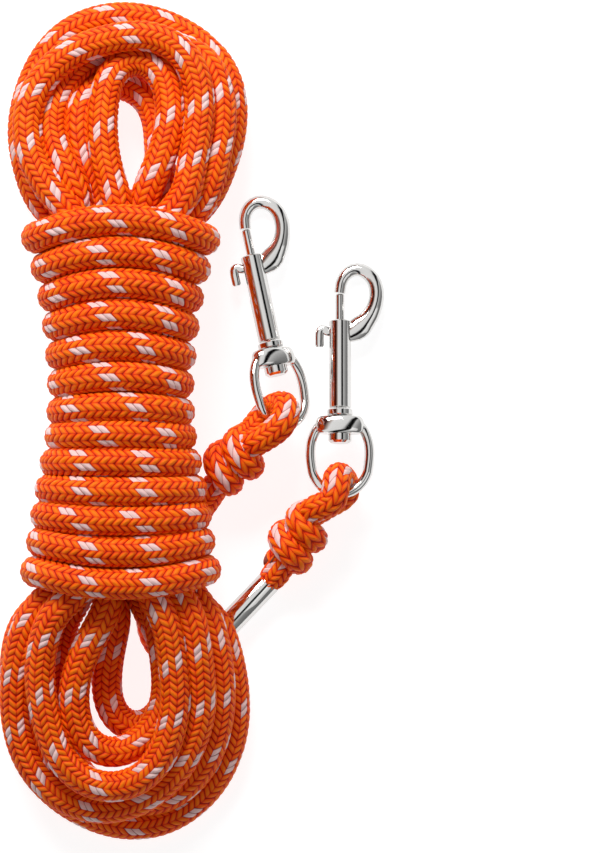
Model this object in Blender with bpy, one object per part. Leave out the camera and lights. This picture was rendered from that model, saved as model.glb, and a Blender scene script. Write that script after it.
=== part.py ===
# Training leash: a braided rope wound into a hank, with a swivel bolt snap tied to each end.
# Metres, +Z up. The leash lies on its back on z = 0, with its top loops towards +Y.
import math

import bmesh
import bpy
import numpy as np
from mathutils import Euler, Matrix, Vector

# Rope
rope_diameter = 0.010
touch_gap = 0.0003
loop_clearance = 0.0024

# Hank: its waist is wrapped, its two lobes are nested loops
hank_x = -0.0251
waist_height = 0.050
wrap_count = 13
waist_top = 0.0695
waist_bottom = -0.0608
waist_half_width = 0.0259
waist_flare = 0.0095
wrap_groove = 0.0011
pressed_flat = 0.0012

# Bolt snap, along its own +Y axis from the middle of the eye's lowest wire
eye_wire = 0.0036
eye_half_width = 0.0105
eye_height = 0.0236
eye_band_low = 0.0218
eye_band_high = 0.0278
eye_band_half_width = 0.0087
eye_band_half_depth = 0.0046
stud_radius = 0.0021
stud_head_radius = 0.0042
stud_head_height = 0.0032
washer_radius = 0.0046
barrel_low = 0.0310
barrel_high = 0.0628
barrel_radius = 0.0040
bore_radius = 0.0026
mouth_radius = 0.0020
mouth_length = 0.0018
bolt_radius = 0.00165
bolt_high = 0.0724
piston_low = 0.0532
piston_high = 0.0606
bolt_travel = 0.0092
lug_half_depth = 0.0011
lug_half_width = 0.0016
lug_out = 0.0073
spring_wire = 0.0005
spring_turns = 7
spring_points = 10

# Where each snap lies: its eye's lowest wire, its turn in plan, its eye's turn about its own axis
snap_height = 0.0148
snap_pitch = math.radians(-8.4)
left_snap = {"side": "left", "place": (0.0343, -0.0021), "turn": math.radians(12.2), "eye": math.radians(38),
             "loop_at": math.radians(-125), "loop_slide": (0.0010, -0.0010), "leg_spread": (0.0012, -0.0012)}
right_snap = {"side": "right", "place": (0.0530, -0.0268), "turn": 0.0, "eye": 0.0,
              "loop_at": math.radians(-80), "loop_slide": (-0.0045, 0.0020), "leg_spread": (-0.0012, 0.0010)}

# Routes of the rope outside the hank, points on its centre line
left_tail_route = [(0.0015, -0.0360, 0.0053), (0.0035, -0.0320, 0.0056), (0.0056, -0.0282, 0.0064)]
right_tail_route = [(-0.0005, -0.0866, 0.0053), (-0.0085, -0.0872, 0.0053), (-0.0145, -0.0815, 0.0053)]
ferrule_ends = [(0.0278, -0.0583, 0.0065), (0.0054, -0.0817, 0.0053)]
ferrule_radius = 0.0045
ferrule_wall = 0.0005
left_knot = {"start": (0.0094, -0.0224, 0.0100), "end": (0.0203, -0.0086, 0.0172), "radius": 0.0112}
right_knot = {"start": (0.0312, -0.0542, 0.0088), "end": (0.0430, -0.0342, 0.0142), "radius": 0.0106}


def finish(name, colour, roughness, metallic):
    """A plain Principled material."""
    material = bpy.data.materials.new(name)
    material.use_nodes = True
    shader = material.node_tree.nodes["Principled BSDF"]
    shader.inputs["Base Color"].default_value = (*colour, 1.0)
    shader.inputs["Roughness"].default_value = roughness
    shader.inputs["Metallic"].default_value = metallic
    material.diffuse_color = (*colour, 1.0)
    return material


def add_object(name, bm, material, smooth=True):
    """Turn a bmesh into a named object with outward faces."""
    bmesh.ops.recalc_face_normals(bm, faces=bm.faces)
    mesh = bpy.data.meshes.new(name)
    bm.to_mesh(mesh)
    bm.free()
    if smooth:
        mesh.shade_smooth()
        mesh.set_sharp_from_angle(angle=math.radians(35))
    mesh.materials.append(material)
    obj = bpy.data.objects.new(name, mesh)
    bpy.context.collection.objects.link(obj)
    return obj


def loft(rings):
    """A closed skin through rings that have equal numbers of points, with both ends capped."""
    bm = bmesh.new()
    loops = [[bm.verts.new(point) for point in ring] for ring in rings]
    count = len(loops[0])
    for near, far in zip(loops, loops[1:]):
        for i in range(count):
            j = (i + 1) % count
            bm.faces.new((near[i], near[j], far[j], far[i]))
    bm.faces.new(loops[0])
    bm.faces.new(loops[-1])
    bmesh.ops.triangulate(bm, faces=[face for face in bm.faces if len(face.verts) > 4])
    return bm


def turned(profile, sides=24):
    """A solid of revolution about Y from (radius, y) points; a profile that closes on itself has a bore."""
    angles = [2 * math.pi * k / sides for k in range(sides)]
    rings = [[(r * math.cos(a), y, r * math.sin(a)) for a in angles] for r, y in profile]
    bm = bmesh.new()
    loops = [[bm.verts.new(point) for point in ring] for ring in rings]
    pairs = list(zip(loops, loops[1:] + loops[:1]))
    for near, far in pairs:
        for i in range(sides):
            j = (i + 1) % sides
            bm.faces.new((near[i], near[j], far[j], far[i]))
    return bm


def turned_solid(profile, sides=24):
    """A solid of revolution about Y whose ends are flat discs."""
    angles = [2 * math.pi * k / sides for k in range(sides)]
    return loft([[(r * math.cos(a), y, r * math.sin(a)) for a in angles] for r, y in profile])


def smooth_points(route, step):
    """Points every step along a Catmull-Rom curve through the route."""
    points = [Vector(p) for p in route]
    padded = [2 * points[0] - points[1], *points, 2 * points[-1] - points[-2]]
    fine = []
    for a, b, c, d in zip(padded, padded[1:], padded[2:], padded[3:]):
        for k in range(24):
            t = k / 24
            fine.append(0.5 * (2 * b + (c - a) * t + (2 * a - 5 * b + 4 * c - d) * t * t
                               + (3 * b - a - 3 * c + d) * t * t * t))
    fine.append(points[-1])
    lengths = np.concatenate([[0.0], np.cumsum([(q - p).length for p, q in zip(fine, fine[1:])])])
    count = max(2, round(lengths[-1] / step) + 1)
    spots = np.linspace(0.0, lengths[-1], count)
    columns = [np.interp(spots, lengths, [p[k] for p in fine]) for k in range(3)]
    return list(zip(*columns))


def rope_tube(name, points, material, radius=rope_diameter / 2, rounds=3):
    """A round tube along a poly curve, with filled caps."""
    curve = bpy.data.curves.new(name, "CURVE")
    curve.dimensions = "3D"
    curve.bevel_depth = radius
    curve.bevel_resolution = rounds
    curve.use_fill_caps = True
    spline = curve.splines.new("POLY")
    spline.points.add(len(points) - 1)
    for slot, point in zip(spline.points, points):
        slot.co = (*point, 1.0)
    curve.materials.append(material)
    obj = bpy.data.objects.new(name, curve)
    bpy.context.collection.objects.link(obj)
    return obj


def cut(obj, cutter):
    """Subtract a hidden helper from an object."""
    cutter.hide_render = True
    cutter.display_type = "WIRE"
    modifier = obj.modifiers.new("cut_" + cutter.name, "BOOLEAN")
    modifier.operation = "DIFFERENCE"
    modifier.object = cutter


def join_to(obj, addition):
    """Unite a hidden helper with an object."""
    addition.hide_render = True
    addition.display_type = "WIRE"
    modifier = obj.modifiers.new("join_" + addition.name, "BOOLEAN")
    modifier.operation = "UNION"
    modifier.object = addition


def box(name, low, high, material):
    """An upright box between two corners."""
    bm = bmesh.new()
    middle = [(a + b) / 2 for a, b in zip(low, high)]
    size = [b - a for a, b in zip(low, high)]
    bmesh.ops.create_cube(bm, size=1.0, matrix=Matrix.Translation(middle) @ Matrix.Diagonal((*size, 1.0)))
    return add_object(name, bm, material, smooth=False)


# The hank

def wrapped_half_width(y):
    """Half width of the wrapped waist: narrowest near its middle and flared towards both lobes."""
    middle = (waist_top + waist_bottom) / 2
    reach = (waist_top - waist_bottom) / 2
    return waist_half_width + waist_flare * abs((y - middle) / reach) ** 2.4


def hank_waist(material):
    """The wrapped waist: one bulge for each turn, pressed flat where it rests."""
    rings = []
    stations = wrap_count * 3
    sides = 28
    for k in range(stations + 1):
        y = waist_bottom + (waist_top - waist_bottom) * k / stations
        groove = wrap_groove if k % 3 == 0 else 0.0
        half_width = wrapped_half_width(y) - groove
        half_height = waist_height / 2 + pressed_flat - groove
        ring = []
        for i in range(sides):
            angle = 2 * math.pi * i / sides
            x = hank_x + half_width * math.cos(angle)
            z = waist_height / 2 + half_height * math.sin(angle)
            ring.append((x, y, max(0.0, min(waist_height, z))))
        rings.append(ring)
    return add_object("hank_waist", loft(rings), material)


def lobe(name, outline, low, high, material):
    """One lobe of nested loops: (y, left x, right x) stations, with its lowest and highest z along y."""
    stations = [Vector(row) for row in outline]
    rings = []
    sides = 24
    start, end = stations[0][0], stations[-1][0]
    for y, left, right in smooth_points(stations, abs(end - start) / 17):
        part = (y - start) / (end - start)
        bottom = low[0] + (low[1] - low[0]) * part ** 3
        top = high[0] + (high[1] - high[0]) * part
        middle, half_width, half_height = (left + right) / 2, (right - left) / 2, (top - bottom) / 2
        ring = []
        for i in range(sides):
            angle = 2 * math.pi * i / sides
            across, up = math.cos(angle), math.sin(angle)
            x = middle + half_width * math.copysign(abs(across) ** 0.6, across)
            z = (bottom + top) / 2 + half_height * math.copysign(abs(up) ** 0.6, up)
            ring.append((x, y, z))
        rings.append(ring)
    return add_object(name, loft(rings), material)


def eyelet(name, tip, wide, end, half_width, material):
    """A pointed teardrop prism along Z, the gap that the innermost loop leaves."""
    plan = [(hank_x + 0.0035, tip)]
    for k in range(13):
        angle = math.pi * k / 12
        plan.append((hank_x + 0.0035 + half_width * math.cos(angle),
                     wide + (end - wide) * math.sin(angle)))
    if end < tip:
        plan = plan[::-1]
    return add_object(name, loft([[(x, y, z) for x, y in plan] for z in (-0.01, 0.06)]), material, smooth=False)


# The bolt snap, in its own frame

def eye_half_line():
    """Right half of the eye's wire, from its lowest point up into the band."""
    line = []
    for k in range(10):
        angle = -math.pi / 2 + math.radians(70) * k / 9
        line.append((eye_half_width * math.cos(angle), eye_height / 2 * (1 + math.sin(angle))))
    shoulder = [(*line[-1], 0.0), (0.0104, 0.0115, 0.0), (0.0106, 0.0148, 0.0), (0.0103, 0.0182, 0.0),
                (0.0094, 0.0212, 0.0), (0.0081, 0.0236, 0.0), (0.0066, 0.0252, 0.0)]
    return line + [(x, y) for x, y, _ in smooth_points(shoulder, 0.0016)[1:]]


def wire_ring(line, radius, sides=12):
    """A round wire swept along a plane line of (x, y) points, as loft rings."""
    points = [Vector((x, y, 0.0)) for x, y in line]
    rings = []
    for k, point in enumerate(points):
        before, after = points[max(0, k - 1)], points[min(len(points) - 1, k + 1)]
        along = (after - before).normalized()
        side = along.cross(Vector((0, 0, 1)))
        rings.append([point + side * radius * math.cos(2 * math.pi * i / sides)
                      + Vector((0, 0, radius * math.sin(2 * math.pi * i / sides))) for i in range(sides)])
    return rings


def swivel_eye(name, material):
    """The band that turns on the stud, with the ring that the rope goes through."""
    right_half = eye_half_line()
    line = [(-x, y) for x, y in reversed(right_half[1:])] + right_half
    middle = (eye_band_low + eye_band_high) / 2
    band = []
    for y, swell in ((eye_band_low, 0.92), (eye_band_low + 0.0004, 0.975), (eye_band_low + 0.0010, 1.0),
                     (middle, 1.02), (eye_band_high - 0.0014, 0.985), (eye_band_high - 0.0006, 0.94),
                     (eye_band_high, 0.87)):
        ring = []
        for i in range(44):
            angle = 2 * math.pi * i / 44
            across, up = math.cos(angle), math.sin(angle)
            ring.append((eye_band_half_width * swell * math.copysign(abs(across) ** 0.86, across), y,
                         eye_band_half_depth * swell * math.copysign(abs(up) ** 0.88, up)))
        band.append(ring)
    obj = add_object(name, loft(band), material)
    ring_part = add_object(name + "_wire", loft(wire_ring(line, eye_wire / 2)), material)
    join_to(obj, ring_part)
    hole = add_object(name + "_hole", turned_solid([(stud_radius + touch_gap, eye_band_low - 0.004),
                                                    (stud_radius + touch_gap, eye_band_high + 0.004)]), material)
    cut(obj, hole)
    return obj, (ring_part, hole)


def hook_arm_rings():
    """The hook: (x, y, width, depth) along its line, from deep in the barrel wall round to the nose."""
    line = [(0.0022, 0.0572, 0.0050, 0.0032), (0.0046, 0.0586, 0.0084, 0.0042), (0.0076, 0.0608, 0.0070, 0.0048),
            (0.0106, 0.0642, 0.0060, 0.0051), (0.0126, 0.0684, 0.0056, 0.0052), (0.0133, 0.0730, 0.0054, 0.0052),
            (0.0123, 0.0773, 0.0052, 0.0051), (0.0096, 0.0804, 0.0050, 0.0050), (0.0061, 0.0815, 0.0048, 0.0048),
            (0.0028, 0.0802, 0.0046, 0.0046), (0.0006, 0.0770, 0.0043, 0.0043), (-0.0001, 0.0728, 0.0041, 0.0041)]
    lined = smooth_points([(x, y, 0.0) for x, y, _, _ in line], 0.0017)
    sized = smooth_points([(w, d, k * 0.004) for k, (_, _, w, d) in enumerate(line)], 0.001)
    sizes = np.array(sized)[np.linspace(0, len(sized) - 1, len(lined)).round().astype(int)]
    points = [Vector(p) for p in lined]
    rings = []
    for k, (point, (width, depth, _)) in enumerate(zip(points, sizes)):
        before, after = points[max(0, k - 1)], points[min(len(points) - 1, k + 1)]
        side = (after - before).normalized().cross(Vector((0, 0, 1)))
        rings.append([point + side * (width / 2 * math.cos(2 * math.pi * i / 18))
                      + Vector((0, 0, depth / 2 * math.sin(2 * math.pi * i / 18))) for i in range(18)])
    return rings


def snap_body(name, material):
    """The casting: hook arm, pointed web and bored barrel with the lug's slot."""
    profile = [(barrel_radius, barrel_high - 0.0004), (barrel_radius, barrel_low + 0.0003),
               (barrel_radius - 0.0003, barrel_low), (stud_radius + 0.0008, barrel_low),
               (bore_radius, barrel_low + 0.0001), (bore_radius, barrel_high - mouth_length),
               (mouth_radius, barrel_high - mouth_length + 0.0004), (mouth_radius, barrel_high),
               (barrel_radius - 0.0004, barrel_high)]
    obj = add_object(name, turned(profile, 28), material)
    arm = add_object(name + "_arm", loft(hook_arm_rings()), material)
    bore = add_object(name + "_bore", turned_solid([(bore_radius, barrel_low - 0.002),
                                                    (bore_radius, barrel_high - mouth_length)], 28), material)
    cut(arm, bore)
    join_to(obj, arm)
    slot = box(name + "_slot", (-0.006, piston_low - bolt_travel + 0.0030, -lug_half_depth - touch_gap),
               (-0.0012, barrel_high - mouth_length - 0.0001, lug_half_depth + touch_gap), material)
    cut(obj, slot)
    return obj, (arm, bore, slot)


def bolt(name, material):
    """The sliding latch pin, thicker where the bore guides it."""
    profile = [(0.0012, piston_low), (bore_radius - touch_gap, piston_low + 0.0003),
               (bore_radius - touch_gap, piston_high), (bolt_radius, piston_high + 0.0001),
               (bolt_radius, bolt_high - 0.0004), (bolt_radius - 0.0004, bolt_high)]
    return add_object(name, turned_solid(profile, 20), material)


def thumb_lug(name, material):
    """The thumb piece: a rounded bar out through the slot, then down beside the barrel."""
    route = [(-bore_radius, 0.0586, 0.0), (-0.0043, 0.0587, 0.0), (-0.0055, 0.0595, 0.0), (-0.0067, 0.0595, 0.0),
             (-lug_out, 0.0580, 0.0), (-lug_out, 0.0532, 0.0)]
    points = [Vector(p) for p in smooth_points(route, 0.0007)]
    rings = []
    for k, point in enumerate(points):
        before, after = points[max(0, k - 1)], points[min(len(points) - 1, k + 1)]
        side = (after - before).normalized().cross(Vector((0, 0, 1)))
        half_width = lug_half_width * (1.0 if k < len(points) - 1 else 0.75)
        ring = []
        for i in range(16):
            across, up = math.cos(2 * math.pi * i / 16), math.sin(2 * math.pi * i / 16)
            ring.append(point + side * half_width * math.copysign(abs(across) ** 0.8, across)
                        + Vector((0, 0, lug_half_depth * math.copysign(abs(up) ** 0.8, up))))
        rings.append(ring)
    return add_object(name, loft(rings), material)


def return_spring(name, material):
    """The coil spring between the stud and the bolt."""
    low, high, radius = 0.0348, piston_low - touch_gap - spring_wire / 2 - 0.0001, 0.0018
    steps = spring_turns * spring_points
    points = []
    for k in range(steps + 1):
        angle = 2 * math.pi * k / spring_points
        points.append((radius * math.cos(angle), low + (high - low) * k / steps, radius * math.sin(angle)))
    return rope_tube(name, points, material, spring_wire / 2, 1)


def swivel_stud(name, material):
    """The stud pressed in the barrel, through the washer and the band, riveted over inside the ring."""
    head_high = eye_band_low - touch_gap
    head_low = head_high - stud_head_height
    profile = [(stud_head_radius - 0.0009, head_low), (stud_head_radius, head_low + 0.0008),
               (stud_head_radius, head_high), (stud_radius, head_high + 0.0001),
               (stud_radius, barrel_low + touch_gap), (bore_radius - touch_gap, barrel_low + 0.0007),
               (bore_radius - touch_gap, barrel_low + 0.0031), (0.0012, barrel_low + 0.0033)]
    return add_object(name, turned_solid(profile, 24), material)


def washer(name, material):
    """The loose collar between the band and the barrel."""
    low, high = eye_band_high + touch_gap, barrel_low - touch_gap
    inner = stud_radius + touch_gap
    profile = [(washer_radius, high - 0.0005), (washer_radius, low + 0.0005), (washer_radius - 0.0005, low),
               (inner, low), (inner, high), (washer_radius - 0.0005, high)]
    return add_object(name, turned(profile, 28), material)


def place_snap(snap, chrome, steel):
    """Build one snap under an empty at its eye's lowest wire, and turn it to where it lies."""
    side = snap["side"]
    frame = bpy.data.objects.new("frame_" + side, None)
    bpy.context.collection.objects.link(frame)
    frame.location = (*snap["place"], snap_height)
    frame.rotation_euler = (Matrix.Rotation(snap["turn"], 3, "Z") @ Matrix.Rotation(snap_pitch, 3, "X")).to_euler()
    eye, eye_helpers = swivel_eye("swivel_eye_" + side, chrome)
    body, body_helpers = snap_body("snap_body_" + side, chrome)
    pieces = [body, *body_helpers, bolt("latch_bolt_" + side, chrome), thumb_lug("thumb_lug_" + side, chrome),
              return_spring("return_spring_" + side, steel), swivel_stud("swivel_stud_" + side, chrome),
              washer("swivel_washer_" + side, chrome)]
    for piece in pieces:
        piece.parent = frame
    for piece in (eye, *eye_helpers):
        piece.parent = frame
        piece.rotation_euler = Euler((0.0, snap["eye"], 0.0))
    return frame


# The rope at the snaps

def loop_frame(snap):
    """Where the rope goes round the eye's wire: the point, and the directions along the wire, inwards and up."""
    at = snap["loop_at"]
    centre_y = eye_height / 2
    point = Vector((eye_half_width * math.cos(at), centre_y + centre_y * math.sin(at), 0.0))
    along = Vector((-eye_half_width * math.sin(at), centre_y * math.cos(at), 0.0)).normalized()
    pose = Matrix.Rotation(snap["turn"], 3, "Z") @ Matrix.Rotation(snap_pitch, 3, "X")
    pose = pose @ Matrix.Rotation(snap["eye"], 3, "Y")
    place = Vector((*snap["place"], snap_height)) + pose @ point
    along = pose @ along
    inwards = pose @ Vector((0, 0, 1)).cross(pose.inverted() @ along)
    return place, along, inwards, along.cross(inwards)


def bight_route(snap, knot):
    """The rope's way round the eye's wire: out of the knot over it, through the ring, and back under it."""
    place, along, inwards, front = loop_frame(snap)
    radius = rope_diameter / 2 + eye_wire / 2 + loop_clearance
    start, end = Vector(knot["start"]), Vector(knot["end"])
    axis = (end - start).normalized()
    slide_in, slide_out = snap["loop_slide"]
    loop = []
    for k in range(9):
        part = k / 8
        angle = math.radians(98 - 196 * part)
        slide = slide_in + (slide_out - slide_in) * part
        loop.append(place + along * slide + radius * (inwards * math.cos(angle) + front * math.sin(angle)))
    spread = Vector((*snap["leg_spread"], 0.0053))
    spread -= axis * spread.dot(axis)
    first = [end + axis * 0.0007 + spread, end + axis * 0.0032 + spread]
    last = [end + axis * 0.0032 - spread, end + axis * 0.0007 - spread]
    return [*first, *loop, *last]


def knot_solid(name, knot, material):
    """A barrel-shaped knot between two flat ends."""
    start, end, radius = Vector(knot["start"]), Vector(knot["end"]), knot["radius"]
    length = (end - start).length
    profile = [(0.0056, 0.0), (0.0080, 0.0012)]
    for k in range(1, 9):
        part = k / 9
        profile.append((radius * (1 - 0.30 * (2 * part - 1) ** 2) * (1 - 0.05 * math.cos(6 * math.pi * part)),
                        0.0012 + (length - 0.0024) * part))
    profile += [(0.0092, length - 0.0008), (0.0088, length)]
    obj = add_object(name, turned_solid(profile, 24), material)
    obj.location = start
    obj.rotation_euler = (end - start).to_track_quat("Y", "Z").to_euler()
    return obj


def before_knot(knot, distance):
    """A point on the knot's axis, short of its tail end."""
    start, end = Vector(knot["start"]), Vector(knot["end"])
    return start - (end - start).normalized() * distance


def beyond_ferrule(index, distance):
    """A point on the ferrule's axis, past one of its ends."""
    start, end = Vector(ferrule_ends[index]), Vector(ferrule_ends[1 - index])
    return start + (start - end).normalized() * distance


def rope_in_ferrule(material):
    """The stretch of rope that the ferrule squeezes."""
    start, end = Vector(ferrule_ends[0]), Vector(ferrule_ends[1])
    radius = ferrule_radius - ferrule_wall - touch_gap
    obj = add_object("rope_in_ferrule", turned_solid([(radius, 0.0), (radius, (end - start).length)], 20), material)
    obj.location = start
    obj.rotation_euler = (end - start).to_track_quat("Y", "Z").to_euler()
    return obj


def ferrule(material):
    """The polished tube on the rope, with rolled ends."""
    start, end = Vector(ferrule_ends[0]), Vector(ferrule_ends[1])
    length = (end - start).length
    outer, inner = ferrule_radius, ferrule_radius - ferrule_wall
    profile = [(outer, length - 0.0003), (outer, 0.0003), (outer - 0.0002, 0.0), (inner, 0.0), (inner, length),
               (outer - 0.0002, length)]
    obj = add_object("ferrule", turned(profile, 24), material)
    obj.location = start
    obj.rotation_euler = (end - start).to_track_quat("Y", "Z").to_euler()
    return obj


def main():
    for old in list(bpy.data.objects):
        bpy.data.objects.remove(old)
    orange = finish("orange_rope", (0.87, 0.08, 0.0), 0.75, 0.0)
    chrome = finish("chrome_plate", (0.8, 0.8, 0.8), 0.08, 1.0)
    steel = finish("spring_steel", (0.45, 0.45, 0.47), 0.3, 1.0)

    hank_waist(orange)
    top = lobe("hank_top_loops",
               [(waist_top + touch_gap, -0.0560, 0.0080), (0.080, -0.0600, 0.0120), (0.093, -0.0648, 0.0176),
                (0.108, -0.0659, 0.0202), (0.122, -0.0630, 0.0190), (0.134, -0.0562, 0.0140),
                (0.142, -0.0480, 0.0070), (0.1475, -0.0390, -0.0040), (0.1496, -0.0300, -0.0150)],
               (0.0105, 0.0010), (0.0400, 0.0200), orange)
    cut(top, eyelet("top_eyelet", 0.0850, 0.1030, 0.1080, 0.0046, orange))
    bottom = lobe("hank_bottom_loops",
                  [(waist_bottom - touch_gap, -0.0600, 0.0080), (-0.070, -0.0640, 0.0100), (-0.084, -0.0676, 0.0168),
                   (-0.098, -0.0688, 0.0202), (-0.112, -0.0672, 0.0202), (-0.127, -0.0620, 0.0160),
                   (-0.138, -0.0530, 0.0110), (-0.1455, -0.0400, 0.0020), (-0.1496, -0.0250, -0.0160)],
                  (0.0114, 0.0010), (0.0400, 0.0220), orange)
    cut(bottom, eyelet("bottom_eyelet", -0.0800, -0.0990, -0.1080, 0.0070, orange))

    tail_end = [before_knot(left_knot, 0.0025), before_knot(left_knot, touch_gap)]
    rope_tube("left_tail", [*smooth_points([*left_tail_route, tail_end[0]], 0.0040), tail_end[1]], orange)
    rope_tube("right_neck", [beyond_ferrule(0, touch_gap), beyond_ferrule(0, 0.0012),
                             before_knot(right_knot, 0.0012), before_knot(right_knot, touch_gap)], orange)
    tail = [beyond_ferrule(1, touch_gap), beyond_ferrule(1, 0.0020), *right_tail_route]
    rope_tube("right_tail", [tail[0], *smooth_points(tail[1:], 0.0035)], orange)
    knot_solid("left_knot", left_knot, orange)
    knot_solid("right_knot", right_knot, orange)
    rope_tube("left_bight", smooth_points(bight_route(left_snap, left_knot), 0.0030), orange)
    rope_tube("right_bight", smooth_points(bight_route(right_snap, right_knot), 0.0030), orange)
    ferrule(chrome)
    rope_in_ferrule(orange)
    place_snap(left_snap, chrome, steel)
    place_snap(right_snap, chrome, steel)


main()
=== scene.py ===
import math

import bpy
import numpy as np
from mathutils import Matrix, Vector


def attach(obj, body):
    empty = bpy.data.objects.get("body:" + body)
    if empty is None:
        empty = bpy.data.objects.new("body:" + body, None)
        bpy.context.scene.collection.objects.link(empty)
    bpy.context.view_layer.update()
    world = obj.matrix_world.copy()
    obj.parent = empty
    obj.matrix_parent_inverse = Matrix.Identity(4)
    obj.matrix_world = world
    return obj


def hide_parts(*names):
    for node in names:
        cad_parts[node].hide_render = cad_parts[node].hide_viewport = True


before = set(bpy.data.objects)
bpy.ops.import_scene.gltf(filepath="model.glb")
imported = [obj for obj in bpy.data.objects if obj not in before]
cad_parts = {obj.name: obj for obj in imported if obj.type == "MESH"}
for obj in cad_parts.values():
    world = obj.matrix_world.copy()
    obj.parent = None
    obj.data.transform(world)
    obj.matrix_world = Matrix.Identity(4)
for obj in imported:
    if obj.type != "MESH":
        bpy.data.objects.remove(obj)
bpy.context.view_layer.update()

scene = bpy.context.scene
mm = 0.001
print("frame loaded")


# camera, looking straight down on the leash through a long lens

view = {"distance": 2.0, "centre": (0.0387, -0.0027), "frameHeight": 0.3045, "sharpHeight": 0.020}

cameraData = bpy.data.cameras.new("camera")
cameraData.sensor_fit = "VERTICAL"
cameraData.sensor_height = 24.0
cameraData.lens = 12.0 * (view["distance"] - view["sharpHeight"]) / (view["frameHeight"] / 2)
cameraData.clip_start, cameraData.clip_end = 0.05, 20.0
camera = bpy.data.objects.new("camera", cameraData)
scene.collection.objects.link(camera)
camera.location = (*view["centre"], view["distance"])
scene.camera = camera
scene.view_settings.view_transform = "Standard"
print("camera set")


# helpers

# sRGB hex to linear: below 0.04045 a straight line, above it a power of 2.4
def linear(hexColour):
    values = [int(hexColour[k:k + 2], 16) / 255 for k in (1, 3, 5)]
    return (*[v / 12.92 if v <= 0.04045 else ((v + 0.055) / 1.055) ** 2.4 for v in values], 1.0)


# one node with its settings, its values and what feeds each socket
def addNode(tree, kind, settings=None, values=None, feeds=None):
    node = tree.nodes.new(kind)
    for key, value in (settings or {}).items():
        setattr(node, key, value)
    for key, value in (values or {}).items():
        node.inputs[key].default_value = value
    for key, source in (feeds or {}).items():
        tree.links.new(source, node.inputs[key])
    return node


def newMaterial(name):
    material = bpy.data.materials.new(name)
    material.use_nodes = True
    tree = material.node_tree
    return material, tree, tree.nodes["Principled BSDF"]


# unit vectors along the last axis
def unit(v):
    return v / np.maximum(np.linalg.norm(v, axis=-1, keepdims=True), 1e-12)


# points every step along a Catmull-Rom curve through a route
def spread(route, step):
    p = np.asarray(route, float)
    p = np.vstack([2 * p[0] - p[1], p, 2 * p[-1] - p[-2]])
    t = (np.arange(24) / 24)[None, :, None]
    a, b, c, d = (p[k:len(p) - 3 + k][:, None, :] for k in range(4))
    fine = 0.5 * (2 * b + (c - a) * t + (2 * a - 5 * b + 4 * c - d) * t ** 2
                  + (3 * b - a - 3 * c + d) * t ** 3)
    return evenly(np.vstack([fine.reshape(-1, p.shape[1]), p[-2]]), step)


# the same line with its points an even distance apart, columns past the third carried along
def evenly(line, step):
    along = np.concatenate([[0], np.cumsum(np.linalg.norm(np.diff(line[:, :3], axis=0), axis=1))])
    spots = np.linspace(0, along[-1], max(2, int(round(along[-1] / step)) + 1))
    return np.stack([np.interp(spots, along, line[:, k]) for k in range(line.shape[1])], axis=1)


# a running average that leaves both ends where they are
def smoothed(line, times):
    line = line.copy()
    for _ in range(times):
        line[1:-1] = 0.5 * line[1:-1] + 0.25 * (line[:-2] + line[2:])
    return line


# braid: twelve columns of floats that lean by turns one way and the other

braid = {"columns": 12, "perColumn": 3, "perFloat": 4, "pitch": 2.60 * mm, "lean": 2.2 * mm,
         "radius": 5.0 * mm, "grooveDepth": 0.36 * mm, "seamDepth": 0.18 * mm, "crown": 0.18 * mm,
         "twistPerMetre": 5.0, "repeat": 8.0}


# rope material: solid-braided polypropylene, dyed filament yarn with two pale tracer yarns; its colour also
# carries painted shade in the grooves between floats and a painted highlight on their crowns

ropeLook = {"paintedCrownHighlight": "#FF7A08", "middle": "#F43A00", "deep": "#900200",
            "tracer": "#F6CFCB", "tracerShade": "#A0564C", "roughness": 0.55, "filaments": 5.0}


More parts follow.
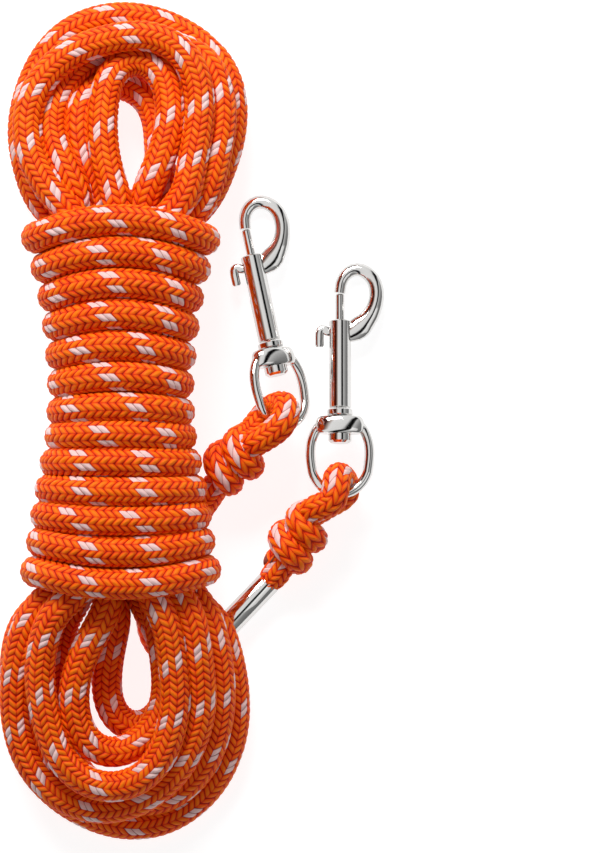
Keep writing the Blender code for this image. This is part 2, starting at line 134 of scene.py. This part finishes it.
# every yarn float has its own whole-number pair in the UV map: across the rope and along it.
# Two neighbouring tracer yarns come round every eight floats, a little further along in each column.
def ropeMaterial():
    material, tree, shader = newMaterial("braided polypropylene rope")
    uv = addNode(tree, "ShaderNodeUVMap", {"uv_map": "braid"})
    split = addNode(tree, "ShaderNodeSeparateXYZ", feeds={0: uv.outputs[0]})

    def maths(operation, first, second=0.0, third=0.0):
        node = addNode(tree, "ShaderNodeMath", {"operation": operation})
        for slot, value in enumerate((first, second, third)):
            if isinstance(value, (int, float)):
                node.inputs[slot].default_value = value
            else:
                tree.links.new(value, node.inputs[slot])
        return node.outputs[0]

    across, along = split.outputs[0], split.outputs[1]
    column, row = maths("FLOOR", across), maths("FLOOR", along)
    inFloat, inColumn = maths("FRACT", along), maths("FRACT", across)
    leansOneWay = maths("LESS_THAN", maths("FLOORED_MODULO", column, 2.0), 0.5)
    comesRound = maths("ROUND", maths("MULTIPLY", column, braid["repeat"] / braid["columns"]))
    carrier = maths("FLOORED_MODULO", maths("SUBTRACT", row, comesRound), braid["repeat"])
    isTracer = maths("MULTIPLY", leansOneWay, maths("LESS_THAN", carrier, 1.5))
    where = addNode(tree, "ShaderNodeCombineXYZ", feeds={0: column, 1: row})
    own = addNode(tree, "ShaderNodeTexWhiteNoise", {"noise_dimensions": "2D"},
                  feeds={"Vector": where.outputs[0]})

    # 1 in the middle of a float, 0 at its sides and ends
    side = maths("MULTIPLY", maths("MULTIPLY", inFloat, maths("SUBTRACT", 1.0, inFloat)), 4.0)
    end = maths("MULTIPLY", maths("MULTIPLY", inColumn, maths("SUBTRACT", 1.0, inColumn)), 4.0)
    raised = maths("MULTIPLY", maths("POWER", side, 0.55), maths("POWER", end, 0.22))
    lines = maths("SINE", maths("MULTIPLY", inFloat, 6.2832 * ropeLook["filaments"]))
    paintedShadeAndTone = maths("ADD", raised, maths("MULTIPLY", maths("SUBTRACT", own.outputs["Value"], 0.5), 0.26))
    paintedShadeAndTone = maths("ADD", paintedShadeAndTone, maths("MULTIPLY", lines, 0.05))
    # painted shade and highlight: both ramps turn darker towards each float's sides and ends, where the
    # grooves are, and lighter on its crown; the random tone per float and the filament lines are the yarn's
    # own
    orange = addNode(tree, "ShaderNodeValToRGB", feeds={0: paintedShadeAndTone})
    stops = orange.color_ramp.elements
    stops[0].position, stops[0].color = 0.12, linear(ropeLook["deep"])
    stops[1].position, stops[1].color = 1.0, linear(ropeLook["paintedCrownHighlight"])
    stops.new(0.55).color = linear(ropeLook["middle"])
    pale = addNode(tree, "ShaderNodeValToRGB", feeds={0: paintedShadeAndTone})
    stops = pale.color_ramp.elements
    stops[0].position, stops[0].color = 0.1, linear(ropeLook["tracerShade"])
    stops[1].position, stops[1].color = 0.55, linear(ropeLook["tracer"])
    mix = addNode(tree, "ShaderNodeMix", {"data_type": "RGBA"}, feeds={0: isTracer})
    tree.links.new(orange.outputs[0], mix.inputs[6])
    tree.links.new(pale.outputs[0], mix.inputs[7])
    tree.links.new(mix.outputs[2], shader.inputs["Base Color"])
    height = maths("ADD", raised, maths("MULTIPLY", lines, 0.10))
    bump = addNode(tree, "ShaderNodeBump", values={"Strength": 0.55, "Distance": 0.0005},
                   feeds={"Height": height})
    tree.links.new(bump.outputs[0], shader.inputs["Normal"])
    shader.inputs["Roughness"].default_value = ropeLook["roughness"]
    shader.inputs["Specular IOR Level"].default_value = 0.16
    shader.inputs["IOR"].default_value = 1.49
    return material


ropeFinish = ropeMaterial()
print("rope material made")


# rope surface: each ring of points zigzags along the line by the braid's lean, and its distance from
# the line is the rope's radius, plus a crown over each float, less a groove between floats
def ropeMesh(name, line, start=0.0):
    line = np.asarray(line, float)
    radii = line[:, 3] if line.shape[1] > 3 else np.full(len(line), braid["radius"])
    centre = line[:, :3]
    along = np.concatenate([[0], np.cumsum(np.linalg.norm(np.diff(centre, axis=0), axis=1))])
    forward = unit(np.gradient(centre, along, axis=0))
    # carry one sideways direction along the line without twist
    sideways = np.empty_like(centre)
    first = np.cross(forward[0], (0.0, 0.0, 1.0))
    if np.linalg.norm(first) < 0.1:
        first = np.cross(forward[0], (0.0, 1.0, 0.0))
    held = unit(first)
    for k, direction in enumerate(forward):
        held = unit(held - direction * held.dot(direction))
        sideways[k] = held
    upward = np.cross(forward, sideways)
    columns, per, rows = braid["columns"], braid["perColumn"], braid["perFloat"]
    around = columns * per
    stepLength = braid["pitch"] / rows
    rings = int((along[-1] - braid["lean"]) / stepLength) + 1
    i, j = np.meshgrid(np.arange(rings), np.arange(around), indexing="ij")
    place = (j % per) / per
    zigzag = np.where((j // per) % 2 == 0, place, 1 - place) * braid["lean"]
    s = np.clip(i * stepLength + zigzag, 0, along[-1])
    angle = 2 * np.pi * j / around + braid["twistPerMetre"] * (s + start)
    pick = lambda values: np.stack([np.interp(s, along, values[:, k]) for k in range(3)], axis=-1)
    inFloat = (i % rows) / rows
    acrossFloat = 1 - (2 * place - 1) ** 2
    height = braid["crown"] * np.sin(np.pi * inFloat) * (0.4 + 0.6 * acrossFloat)
    height -= braid["grooveDepth"] * (i % rows == 0) * (0.75 + 0.25 * acrossFloat)
    height -= braid["seamDepth"] * (j % per == 0)
    radius = np.interp(s, along, radii) + height
    points = pick(centre) + radius[..., None] * (np.cos(angle)[..., None] * unit(pick(sideways))
                                                 + np.sin(angle)[..., None] * unit(pick(upward)))
    firstCap, lastCap = points[0].mean(0), points[-1].mean(0)
    points = np.vstack([points.reshape(-1, 3), firstCap, lastCap])
    a, b = np.meshgrid(np.arange(rings - 1), np.arange(around), indexing="ij")
    a, b = a.ravel(), b.ravel()
    nextB = (b + 1) % around
    quads = np.stack([a * around + b, a * around + nextB,
                      (a + 1) * around + nextB, (a + 1) * around + b], axis=1)
    ends, nextEnds = np.arange(around), (np.arange(around) + 1) % around
    low = np.stack([nextEnds, ends, np.full(around, rings * around)], axis=1)
    high = np.stack([ends, nextEnds, np.zeros(around, int)], axis=1) + (rings - 1) * around
    high[:, 2] = rings * around + 1
    corners = np.concatenate([quads.ravel(), low.ravel(), high.ravel()])
    sizes = np.concatenate([np.full(len(quads), 4), np.full(2 * around, 3)])
    startRow = int(round(start / braid["pitch"])) * rows
    uq = np.stack([b, b + 1, b + 1, b], axis=1) / per
    vq = (np.stack([a, a, a + 1, a + 1], axis=1) + startRow) / rows
    # a hair inside each float, so that a corner never counts as the next one
    column = np.floor(b / per)[:, None]
    uq = np.where(uq == column, uq + 1e-4, np.where(uq == column + 1, uq - 1e-4, uq))
    uv = np.zeros((len(corners), 2))
    uv[:quads.size, 0], uv[:quads.size, 1] = uq.ravel(), vq.ravel()
    mesh = bpy.data.meshes.new(name)
    mesh.vertices.add(len(points))
    mesh.vertices.foreach_set("co", points.astype(np.float32).ravel())
    mesh.loops.add(len(corners))
    mesh.loops.foreach_set("vertex_index", corners.astype(np.int32))
    mesh.polygons.add(len(sizes))
    mesh.polygons.foreach_set("loop_start", np.concatenate([[0], np.cumsum(sizes)[:-1]]).astype(np.int32))
    mesh.update(calc_edges=True)
    mesh.uv_layers.new(name="braid").data.foreach_set("uv", uv.astype(np.float32).ravel())
    mesh.shade_smooth()
    mesh.materials.append(ropeFinish)
    obj = bpy.data.objects.new(name, mesh)
    scene.collection.objects.link(obj)
    return obj, float(along[-1])


# hank: heights and widths of the thirteen wraps, from its top loops down

hank = {"x": -25.1, "depth": 25.0,
        "wrapY": [65.5, 54.8, 44.3, 33.9, 23.3, 13.1, 2.9, -6.1, -15.5, -25.1, -34.7, -44.4, -54.9],
        "halfWidth": [35.2, 31.8, 29.3, 27.7, 26.6, 25.9, 26.1, 26.8, 28.6, 30.5, 32.1, 33.4, 35.5],
        "rise": [4.8, 4.3, 3.8, 3.2, 2.7, 2.2, 1.4, 0.9, 0.4, -0.4, -1.2, -2.6, -3.4],
        "roundness": 2.5}


# one wrap: a squared ellipse in X and Z. Its front keeps one height and bows by its rise,
# and its back carries the rope on to the next wrap's height
def wrapTurn(k, following, lateBack, first=0.0, last=1.0):
    t = np.linspace(first, last, int(60 * (last - first)) + 2)
    angle = np.pi * (1 - 2 * t)                       # left, over the front, right, then under the back
    back = np.clip(2 * t - 1, 0, 1)
    ease = np.clip(back / lateBack, 0, 1)
    ease = ease * ease * (3 - 2 * ease)
    mix = lambda values: np.array(values)[k] * (1 - ease) + np.array(values)[following] * ease
    reach = mix(hank["halfWidth"]) - 5.0
    power = 2 / hank["roundness"]
    c, s = np.cos(angle), np.sin(angle)
    across = np.sign(c) * np.abs(c) ** power
    x = hank["x"] + reach * across
    z = hank["depth"] + (hank["depth"] - 5.1) * np.sign(s) * np.abs(s) ** power
    front = hank["rise"][k] * (1 - across ** 2 * 1.35)
    y = mix(hank["wrapY"]) + np.where(t < 0.5, front, -0.35 * hank["rise"][k] * (1 - ease))
    return np.stack([x, y, z], axis=1)


upper = [wrapTurn(k, max(k - 1, 0), 1.0, 0.0, 1.0 if k else 0.66) for k in range(9, -1, -1)]
leftIn = [(5.6, -28.2, 6.4), (1.5, -34.0, 5.3), (-8.0, -33.6, 5.1), (-24.0, -30.5, 5.1), (-40.0, -27.3, 6.6),
          (-48.5, -25.8, 12.0)]
dive = [(-13.0, 71.5, 6.2), (-21.0, 77.0, 8.5), (-29.5, 78.0, 12.0), (-34.0, 71.5, 15.0), (-33.5, 63.5, 16.3)]
lower = [wrapTurn(10, 11, 0.5), wrapTurn(11, 12, 0.5), wrapTurn(12, 12, 1.0, 0.0, 0.64)]
lowerIn = [(-12.5, -47.0, 14.0), (-18.5, -41.0, 8.5), (-29.0, -37.5, 5.6), (-42.0, -36.0, 7.5),
           (-49.0, -35.2, 12.5)]
rightOut = [(-11.0, -58.5, 5.5), (-14.5, -66.0, 5.3), (-15.2, -74.5, 5.3), (-12.2, -81.5, 5.3),
            (-6.6, -85.6, 5.3), (-0.3, -85.4, 5.3), (5.4, -81.7, 5.3)]


# loops: points on each strand's centre line, left foot to right foot

topLoops = {
    "t1": [(-54.1, 75, 22), (-57.3, 85.7, 19), (-60.4, 96, 16), (-60.9, 107.5, 14), (-56.2, 123.9, 11),
           (-51.2, 132.4, 10), (-44.1, 139.6, 9), (-29.8, 144.6, 9), (-16.2, 143.9, 9), (-3.4, 138.5, 9),
           (7.3, 131, 10), (13.4, 121, 12), (15.2, 109.6, 14), (13, 96, 17), (9.1, 86.8, 20),
           (5.5, 76, 22)],
    "t2": [(-44.8, 75, 36), (-50, 82, 34), (-55, 91, 31), (-58.4, 103.2, 27), (-56.6, 113.9, 25),
           (-52.7, 122.1, 24), (-42.7, 131, 24), (-31.2, 134.9, 25), (-19.5, 137.1, 26),
           (-10.2, 136.4, 26), (-2.7, 131, 26), (2, 123.5, 27), (3.4, 113.9, 28), (3, 103.2, 30),
           (0, 88, 33), (-1.4, 75, 35)],
    "t3": [(-36.9, 75, 35), (-42, 84, 32), (-47.5, 94, 29), (-50.5, 103.2, 26), (-48.7, 113.9, 22),
           (-43.4, 123.9, 17), (-34.5, 129.9, 13), (-20, 134, 12), (-6, 134, 13), (4.8, 129.9, 16),
           (8.7, 122.8, 19), (10.9, 113.9, 22), (10.9, 103.2, 24), (7.5, 88, 27), (4, 76, 29)],
    "t4": [(-32, 75, 28), (-36, 84, 29), (-40, 94, 29), (-41.6, 103.2, 27), (-40.2, 112.5, 22),
           (-36, 119, 16), (-28.5, 121.5, 10.5), (-19.5, 119.3, 8.5), (-13, 112.5, 9.5), (-11.5, 102, 13),
           (-11.8, 90, 18), (-8.7, 76, 22)],
    "t5": [(-24.5, 75, 34), (-28.5, 84, 33), (-31.2, 94, 31), (-32, 103.2, 29), (-31.2, 117.5, 23),
           (-28.4, 125.3, 18), (-20.5, 130.5, 16), (-12, 127.5, 18), (-7.7, 116.7, 23), (-7, 106.7, 27),
           (-8.6, 98.3, 30), (-10.8, 91, 32), (-14.8, 84, 33), (-17.7, 75, 33)]}
bottomLoops = {
    "inner": [(-25, -66, 22), (-29, -80, 17), (-31.2, -97, 12), (-29, -107, 10), (-20, -113, 9),
           (-10, -106, 10), (-7.7, -97, 12), (-10, -80, 17), (-17, -66, 22)],
    "b1": [(-28, -66, 34), (-34, -75, 32), (-39.4, -86, 30), (-42.3, -96, 28), (-41.9, -105.7, 26),
           (-38.6, -115.2, 24), (-31, -120.6, 22), (-24, -119.6, 20), (-15, -113, 17), (-8.5, -101, 18),
           (-9.5, -84, 22), (-13, -66, 27)],
    "b2": [(-48, -66, 35), (-52, -77, 33), (-54.4, -90.3, 30), (-51.9, -105.7, 28), (-47.3, -120.7, 26),
           (-39.1, -129.2, 25), (-31.2, -132.1, 25), (-23, -131.4, 26), (-14.5, -126.4, 27),
           (-9.1, -118.2, 28), (-5.9, -106, 30), (-4.8, -97.1, 31), (-6.6, -77.8, 34), (-7.7, -66, 35)],
    "m": [(-56, -67, 27), (-61, -80, 25), (-63.4, -97, 21), (-62.3, -112.8, 17), (-57.3, -125.3, 15),
           (-50.5, -133, 15), (-40, -139, 15), (-31, -140, 16), (-19, -137.3, 17), (-10.2, -131, 19),
           (-4.1, -124.6, 20), (0.2, -116.4, 22), (4.1, -104, 25), (4.1, -96.7, 26), (2, -80, 30),
           (-0.5, -66, 32)],
    "o2": [(-46, -66, 20), (-47, -84, 15), (-48, -100, 11), (-47, -114, 8), (-42.5, -126, 6),
           (-34, -135, 6), (-24, -140, 7), (-12, -139, 8), (-3, -133, 10), (4, -125, 12), (8.8, -114, 14),
           (10.9, -100, 17), (9, -84, 22), (4.5, -67, 26)],
    "o1": [(-58, -66, 18), (-63, -82, 14), (-64, -100, 9), (-62.5, -113, 6), (-57, -127, 5.6),
           (-46, -137.6, 5.6), (-33, -143, 5.6), (-20, -144.6, 5.6), (-9, -143, 5.6), (1, -137.5, 6),
           (8.5, -129, 7), (13.5, -118, 9), (15.2, -108, 11), (15.2, -98, 13), (12.5, -84, 18),
           (7, -68, 21)]}
# order of the loops along the rope, and the place each pass has in the core: sideways, and height
tour = ["inner", "t5", "b1", "t4", "b2", "t2", "m", "t3", "o2", "t1", "o1"]
core = [(-4.5, 16.5), (3.7, 25), (-4.0, 25), (3.7, 17), (-3.7, 33.5), (4.5, 33.5), (-11.5, 31), (11.5, 31),
        (-11.5, 24), (11.5, 24), (-10.5, 18), (10.5, 18)]


# a pass through the waist, spread wider at both ends where the wraps are wider
def corePass(slot, goingUp):
    sideways, height = core[slot]
    y = np.linspace(-56, 56, 9)
    flare = 1 + 0.62 * np.abs(y / 56) ** 2.2
    points = np.stack([hank["x"] + sideways * flare, y, np.full(9, float(height))], axis=1)
    return points if goingUp else points[::-1]


ropeSteps = {"spacing": 4.0, "apart": 9.7, "apartInCore": 8.1, "apartFromTail": 9.9,
             "lowest": 5.2, "rounds": 260}


# lay the loops down: pull every point to its target, smooth, push strands apart, hold them off the floor
def settleLoops():
    route, strength = [], []
    for k, name in enumerate(tour):
        route.append(corePass(k, k % 2 == 1))
        strength.append(np.full(len(route[-1]), 0.02))
        points = np.array(bottomLoops.get(name) or topLoops[name], float)
        if k % 2:
            points = points[::-1]
        route.append(points)
        strength.append(np.full(len(points), 0.12))
    route.append(corePass(11, True)[:1])      # the last strand only enters the core, then turns off to wrap
    strength.append(np.full(1, 0.02))
    joined = np.column_stack([np.vstack(route), np.concatenate(strength)])
    target = spread(joined, ropeSteps["spacing"])
    strength, target = target[:, 3:4], target[:, :3]
    place = target.copy()
    count = len(place)
    number = np.arange(count)
    away = np.triu(np.abs(number[:, None] - number[None, :]) > 4)
    inFerrule = [(5.4 + 22.4 * t, -81.7 + 23.4 * t, 5.5) for t in (0.15, 0.3, 0.45)]
    fixed = np.vstack([evenly(spread(rightOut, 4.0), 4.0), inFerrule])
    pullZ = np.array([1.0, 1.0, 0.25])
    for turn in range(ropeSteps["rounds"]):
        place += strength * pullZ * (target - place)
        place[1:-1] += 0.18 * (0.5 * (place[:-2] + place[2:]) - place[1:-1])
        inCore = np.abs(place[:, 1] - 4.0) < 62
        for _ in range(2):
            gap = place[:, None, :] - place[None, :, :]
            distance = np.sqrt((gap ** 2).sum(-1))
            wanted = np.where(inCore[:, None] | inCore[None, :], ropeSteps["apartInCore"], ropeSteps["apart"])
            short = np.where(away, np.clip(wanted - distance, 0, 3.0), 0.0)
            push = gap / np.maximum(distance, 0.1)[..., None] * (0.42 * short)[..., None]
            place += push.sum(1) - push.sum(0)
        gap = place[:, None, :] - fixed[None, :, :]
        distance = np.sqrt((gap ** 2).sum(-1))
        short = 0.5 * np.clip(ropeSteps["apartFromTail"] - distance, 0, 3)
        push = gap / np.maximum(distance, 0.1)[..., None] * short[..., None]
        place += push.sum(1)
        # inside the waist the strands stay within the wraps, which open like a funnel past its ends
        outside = np.clip(np.maximum(place[:, 1] - 68.5, -59.5 - place[:, 1]), 0, None)
        width = np.interp(place[:, 1], hank["wrapY"][::-1], hank["halfWidth"][::-1]) - 14.2 + 1.5 * outside
        depth = 10.8 + 1.3 * outside
        ratio = np.sqrt(((place[:, 0] - hank["x"]) / width) ** 2 + ((place[:, 2] - 25) / depth) ** 2)
        near = (ratio > 1) & (outside < 14)
        scale = np.where(near, 1 / np.maximum(ratio, 1e-6), 1.0)
        place[:, 0] = hank["x"] + (place[:, 0] - hank["x"]) * scale
        place[:, 2] = 25 + (place[:, 2] - 25) * scale
        place[:, 2] = np.maximum(place[:, 2], ropeSteps["lowest"])
    return smoothed(place, 2)


loops = settleLoops()
print("loops settled:", len(loops), "points")

# the whole rope, in millimetres: thinner where the wraps squeeze it
inWaist = np.clip((66 - np.abs(loops[:, 1] - 4)) / 8, 0, 1)
loopRope = np.column_stack([loops, 5.4 - 1.35 * inWaist])
upperRope = np.vstack([np.array(leftIn)[1:], np.vstack(upper), dive, loops[:3]])
lowerRope = np.vstack([loops[-3:], lowerIn, np.vstack(lower), rightOut])


# a rope line in metres with its radius: stepped evenly first, so that close points never kink it
def inMetres(line, radius=5.0, times=5):
    line = np.asarray(line, float)
    if line.shape[1] == 3:
        line = np.column_stack([line, np.full(len(line), radius)])
    line = smoothed(evenly(line, 2.0), times)
    return evenly(smoothed(spread(line, 1.0), 4), 1.5) * mm


pieces = {}


def layRope(name, line, start, stands=()):
    obj, length = ropeMesh(name, line, start)
    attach(obj, "rope")
    if stands:
        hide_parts(*stands)
    pieces[name] = length
    return start + length


start = layRope("upper_wraps", inMetres(upperRope, 5.45), 0.0, ["hank_waist"])
loopLine = inMetres(loopRope)
middle = np.flatnonzero(np.diff(np.sign(loopLine[:, 1] - 0.004)))   # where each pass is half way
cuts = [0, middle[3], middle[6], middle[9], len(loopLine) - 1]
for k in range(4):
    stands = {0: ["hank_top_loops"], 1: ["hank_bottom_loops"]}.get(k, [])
    start = layRope(f"loops_{k + 1}", loopLine[cuts[k]:cuts[k + 1] + 1], start, stands)
start = layRope("lower_wraps", inMetres(lowerRope, 5.45), start, ["right_tail"])
print("hank laid")


# rope ends: each goes through its knot, round the snap's eye and back, then winds round itself

eyes = {"left": {"loop": (29.101, -0.51, 18.156), "wire": (0.7495, -0.53616, -0.3883), "slide": (1.0, -1.0),
                 "spread": (1.2, -1.2), "knot": ((9.4, -22.4, 10.0), (20.3, -8.6, 17.2)), "knotRadius": 11.4,
                 "turns": 1.85},
        "right": {"loop": (54.823, -26.623, 14.774), "wire": (0.98093, 0.19229, -0.0284),
                  "slide": (-4.5, 2.0), "spread": (-1.2, 1.0),
                  "knot": ((31.2, -54.2, 8.8), (43.0, -34.2, 14.2)), "knotRadius": 10.9, "turns": 2.35}}
ropeEndSizes = {"bightRadius": 6.9, "insideCoil": 5.1}
inwardsOf = {"left": (0.5646, 0.8242, -0.0482), "right": (-0.1843, 0.9717, 0.1479)}


# bight: part of a circle round the wire, whose ends run on to the knot.
# knot: a coil round the knot's own axis that is widest half way along
def ropeEnd(side, before, beforeRadii):
    e = eyes[side]
    wire = unit(np.array(e["wire"]))
    inwards = np.array(inwardsOf[side])
    inwards = unit(inwards - wire * inwards.dot(wire))
    front = np.cross(wire, inwards)
    low, high = np.array(e["knot"][0]), np.array(e["knot"][1])
    axis = unit(high - low)
    part = np.linspace(0, 1, 13)[:, None]
    angle = np.radians(100 - 200 * part)
    slide = e["slide"][0] + (e["slide"][1] - e["slide"][0]) * part
    loop = np.array(e["loop"]) + wire * slide + ropeEndSizes["bightRadius"] * (inwards * np.cos(angle) + front * np.sin(angle))
    apart = np.array((*e["spread"], 4.8))
    apart = apart - axis * apart.dot(axis)
    neck = np.vstack([low, low + (high - low) * 0.5, high + apart * 0.35, high + axis * 2.2 + apart])
    back = np.vstack([high + axis * 2.2 - apart])
    t = np.linspace(0.0, 1.0, int(26 * e["turns"]))[:, None]
    barrel = e["knotRadius"] * (1 - 0.30 * (2 * t - 1) ** 2)
    u = unit(-apart)
    v = np.cross(axis, u)
    turnBy = 2 * np.pi * e["turns"] * t
    outwards = (barrel - ropeEndSizes["insideCoil"]) * (u * np.cos(turnBy) + v * np.sin(turnBy))
    coil = high - axis * (t * np.linalg.norm(high - low) * 0.94 - 0.2) + outwards
    tuck = coil[-1] + np.vstack([(low - coil[-1]) * 0.45 - axis * 0.6])
    line = np.vstack([before, neck, loop, back, coil, tuck])
    radii = np.concatenate([beforeRadii, [5.0, 3.6, 4.6, 4.8], np.full(len(loop), 5.0), [4.9],
                            np.full(len(coil), 5.15), [4.6]])
    line[:, 2] = np.maximum(line[:, 2], radii + 0.15)
    return inMetres(np.column_stack([line, radii]), times=2)


leftBefore = np.array([leftIn[1], leftIn[0]])
start = layRope("left_end", ropeEnd("left", leftBefore, [5.0, 5.0]), start,
                ["left_tail", "left_knot", "left_bight"])
ferruleLine = np.array([(5.4, -81.7, 5.3), (11.0, -75.9, 5.6), (16.6, -70.0, 5.9), (22.2, -64.2, 6.2),
                        (27.2, -58.9, 6.5), (28.5, -57.5, 7.0)])
start = layRope("right_end", ropeEnd("right", ferruleLine, [3.6, 3.6, 3.6, 3.6, 3.6, 5.3]), start,
                ["right_neck", "right_knot", "right_bight", "rope_in_ferrule"])
print("rope laid, metres:", round(sum(pieces.values()), 2))


# metals

# nickel-chrome plate over a zinc die casting: mirror bright, with the faint waves of a polished casting
def chromeMaterial():
    material, tree, shader = newMaterial("chrome plated zinc casting")
    where = addNode(tree, "ShaderNodeTexCoord")
    waves = addNode(tree, "ShaderNodeTexNoise", values={"Scale": 260.0, "Detail": 2.0},
                    feeds={"Vector": where.outputs["Object"]})
    bump = addNode(tree, "ShaderNodeBump", values={"Strength": 0.05, "Distance": 0.0003},
                   feeds={"Height": waves.outputs[0]})
    tree.links.new(bump.outputs[0], shader.inputs["Normal"])
    shader.inputs["Base Color"].default_value = linear("#D9D8D6")
    shader.inputs["Metallic"].default_value = 1.0
    shader.inputs["Roughness"].default_value = 0.09
    return material


# drawn spring wire: grey steel with fine lines along the draw
def springMaterial():
    material, tree, shader = newMaterial("drawn spring steel")
    where = addNode(tree, "ShaderNodeTexCoord")
    grain = addNode(tree, "ShaderNodeTexNoise", values={"Scale": 900.0, "Detail": 3.0},
                    feeds={"Vector": where.outputs["Object"]})
    bump = addNode(tree, "ShaderNodeBump", values={"Strength": 0.2, "Distance": 0.0001},
                   feeds={"Height": grain.outputs[0]})
    tree.links.new(bump.outputs[0], shader.inputs["Normal"])
    shader.inputs["Base Color"].default_value = linear("#A9ABAF")
    shader.inputs["Metallic"].default_value = 1.0
    shader.inputs["Roughness"].default_value = 0.32
    return material


# joins each casting's triangles, then shades it smooth except along edges sharper than 38 degrees
def smoothShading():
    tree = bpy.data.node_groups.new("smooth by angle", "GeometryNodeTree")
    tree.interface.new_socket("Geometry", in_out="INPUT", socket_type="NodeSocketGeometry")
    tree.interface.new_socket("Geometry", in_out="OUTPUT", socket_type="NodeSocketGeometry")
    source = addNode(tree, "NodeGroupInput")
    joined = addNode(tree, "GeometryNodeMergeByDistance", values={"Distance": 0.00002},
                     feeds={"Geometry": source.outputs[0]})
    soft = addNode(tree, "GeometryNodeSetShadeSmooth", feeds={"Geometry": joined.outputs[0]})
    bend = addNode(tree, "GeometryNodeInputMeshEdgeAngle")
    sharp = addNode(tree, "FunctionNodeCompare", {"operation": "GREATER_THAN"}, {1: math.radians(38)},
                    {0: bend.outputs[0]})
    edged = addNode(tree, "GeometryNodeSetShadeSmooth", {"domain": "EDGE"}, {"Shade Smooth": False},
                    {"Geometry": soft.outputs[0], "Selection": sharp.outputs[0]})
    addNode(tree, "NodeGroupOutput", feeds={0: edged.outputs[0]})
    return tree


shading = smoothShading()
chrome, springSteel = chromeMaterial(), springMaterial()
for name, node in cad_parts.items():
    if node.hide_render:
        continue
    finish = springSteel if name.startswith("return_spring") else chrome
    if not node.material_slots:
        node.data.materials.append(finish)
    for slot in node.material_slots:
        slot.material = finish
    node.modifiers.new("smooth shading", "NODES").node_group = shading
print("metals finished")


# floor and studio light

studio = {"floor": "#969696", "glow": 0.86, "key": 18.0, "fill": 1.2, "world": 0.24, "reflected": 1.0}

floorMesh = bpy.data.meshes.new("floor")
floorMesh.from_pydata([(-3, -3, 0), (3, -3, 0), (3, 3, 0), (-3, 3, 0)], [], [(0, 1, 2, 3)])
floorMaterial, floorTree, floorShader = newMaterial("pale floor")
floorShader.inputs["Base Color"].default_value = linear(studio["floor"])
floorShader.inputs["Roughness"].default_value = 0.9
floorShader.inputs["Emission Color"].default_value = linear("#FFFFFF")
floorShader.inputs["Emission Strength"].default_value = studio["glow"]
floorMesh.materials.append(floorMaterial)
floor = bpy.data.objects.new("floor", floorMesh)
scene.collection.objects.link(floor)


def softBox(name, place, aim, width, depth, watts):
    light = bpy.data.lights.new(name, "AREA")
    light.shape, light.size, light.size_y, light.energy = "RECTANGLE", width, depth, watts
    obj = bpy.data.objects.new(name, light)
    scene.collection.objects.link(obj)
    obj.location = place
    away = np.array(place, float) - np.array(aim, float)
    obj.rotation_euler = Vector(away).to_track_quat("Z", "Y").to_euler()
    return obj


softBox("key light", (-0.25, 1.00, 0.85), (0, 0, 0), 0.7, 0.5, studio["key"])
softBox("fill light", (0.9, -0.3, 1.1), (0, 0, 0), 0.8, 0.8, studio["fill"])

world = bpy.data.worlds.new("studio")
scene.world = world
world.use_nodes = True
sky = world.node_tree
plain = sky.nodes["Background"]
plain.inputs[0].default_value = linear("#FFFFFF")
plain.inputs[1].default_value = studio["world"]
# polished metal sees soft boxes and dark cards: bands across the room, by the direction's X less half its Y
direction = addNode(sky, "ShaderNodeTexCoord")
slant = addNode(sky, "ShaderNodeVectorMath", {"operation": "DOT_PRODUCT"}, {1: (0.435, -0.25, 0.0)},
                {0: direction.outputs["Generated"]})
shifted = addNode(sky, "ShaderNodeMath", {"operation": "ADD"}, {1: 0.5}, {0: slant.outputs["Value"]})
bands = addNode(sky, "ShaderNodeValToRGB", feeds={0: shifted.outputs[0]})
bandStops = [(0.0, "#2A0F0A"), (0.17, "#4A1A10"), (0.24, "#B9A59C"), (0.30, "#FFFFFF"), (0.50, "#F4F4F4"),
             (0.54, "#8A8A8A"), (0.56, "#050505"), (0.65, "#0A0A0A"), (0.69, "#D2D2D2"), (0.84, "#8E8E8E"),
             (1.0, "#747474")]
ramp = bands.color_ramp.elements
ramp[0].position, ramp[0].color = bandStops[0][0], linear(bandStops[0][1])
ramp[1].position, ramp[1].color = bandStops[-1][0], linear(bandStops[-1][1])
for position, colour in bandStops[1:-1]:
    ramp.new(position).color = linear(colour)
banded = addNode(sky, "ShaderNodeBackground", values={1: studio["reflected"]}, feeds={0: bands.outputs[0]})
ray = addNode(sky, "ShaderNodeLightPath")
either = addNode(sky, "ShaderNodeMixShader",
                 feeds={0: ray.outputs["Is Glossy Ray"], 1: plain.outputs[0], 2: banded.outputs[0]})
sky.links.new(either.outputs[0], sky.nodes["World Output"].inputs[0])
print("studio lit")
